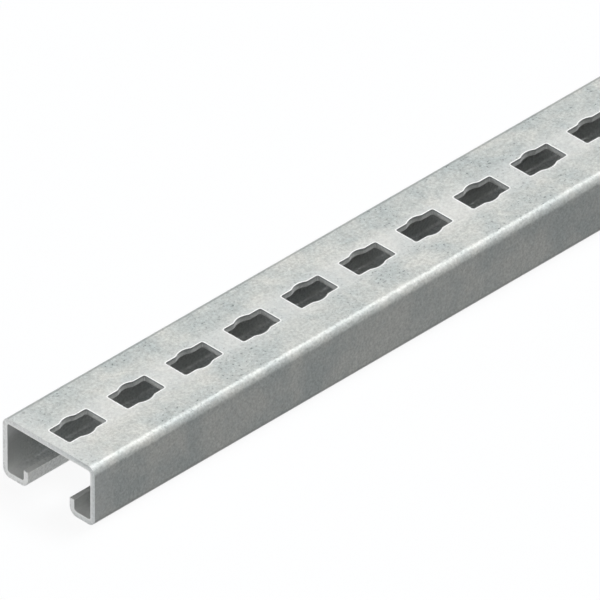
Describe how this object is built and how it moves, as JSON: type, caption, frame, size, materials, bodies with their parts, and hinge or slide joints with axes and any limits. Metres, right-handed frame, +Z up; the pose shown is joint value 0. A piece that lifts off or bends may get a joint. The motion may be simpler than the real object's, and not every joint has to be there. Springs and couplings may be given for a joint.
{
  "type": "anchor channel",
  "caption": "Slotted C-section channel, open along one side between two inturned lips that hold sliding nuts, with a row of slots through its back for bolting it down.",
  "frame": {"origin": "middle of the surface that the channel rests on, mouth down", "axes": "+X along the channel, +Y across it, +Z up from the mouth to the back"},
  "size_m": [0.5, 0.04, 0.022],
  "materials": {
    "galvanised_steel": "hot-dip galvanised, matt to satin, with cloudy zinc mottling"
  },
  "bodies": {
    "root": {"channel": "galvanised_steel"}
  },
  "joints": []
}
